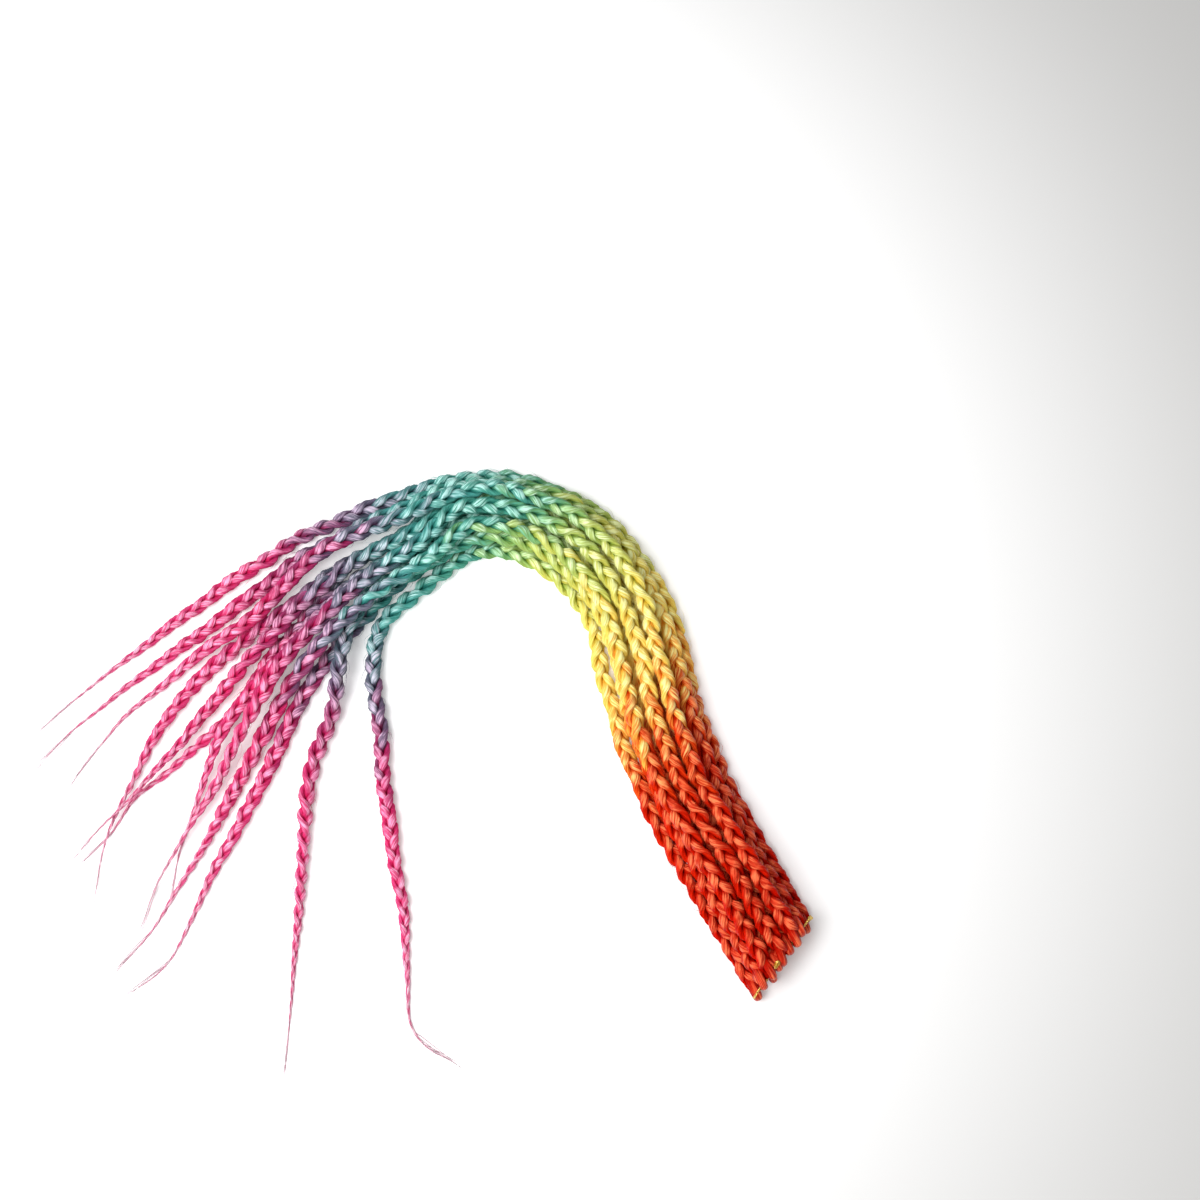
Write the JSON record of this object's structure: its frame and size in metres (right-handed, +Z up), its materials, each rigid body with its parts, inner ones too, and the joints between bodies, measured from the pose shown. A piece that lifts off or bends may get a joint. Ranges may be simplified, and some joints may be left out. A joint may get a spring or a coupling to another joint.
{
  "type": "crochet braid hair extension",
  "caption": "Pack of long pre-plaited synthetic box braids with crochet loops at the head, tied with gold thread, lying in a bend with tapering tails fanned out; orange to green to pink.",
  "frame": {"origin": "middle of the pack's footprint on the surface it lies on", "axes": "+Z up from the surface, +Y away from the viewer towards the top of the bend, +X towards the head end with the crochet loops"},
  "size_m": [0.4098, 0.3132, 0.0282],
  "materials": {
    "braid_fibre": "satin",
    "tie_thread": "gloss"
  },
  "bodies": {
    "root": {"braid_01": "braid_fibre", "braid_02": "braid_fibre", "braid_03": "braid_fibre", "braid_04": "braid_fibre", "braid_05": "braid_fibre", "braid_06": "braid_fibre", "braid_07": "braid_fibre", "braid_08": "braid_fibre", "braid_09": "braid_fibre", "braid_10": "braid_fibre", "braid_11": "braid_fibre", "braid_12": "braid_fibre", "tie_cord": "tie_thread"}
  },
  "joints": []
}
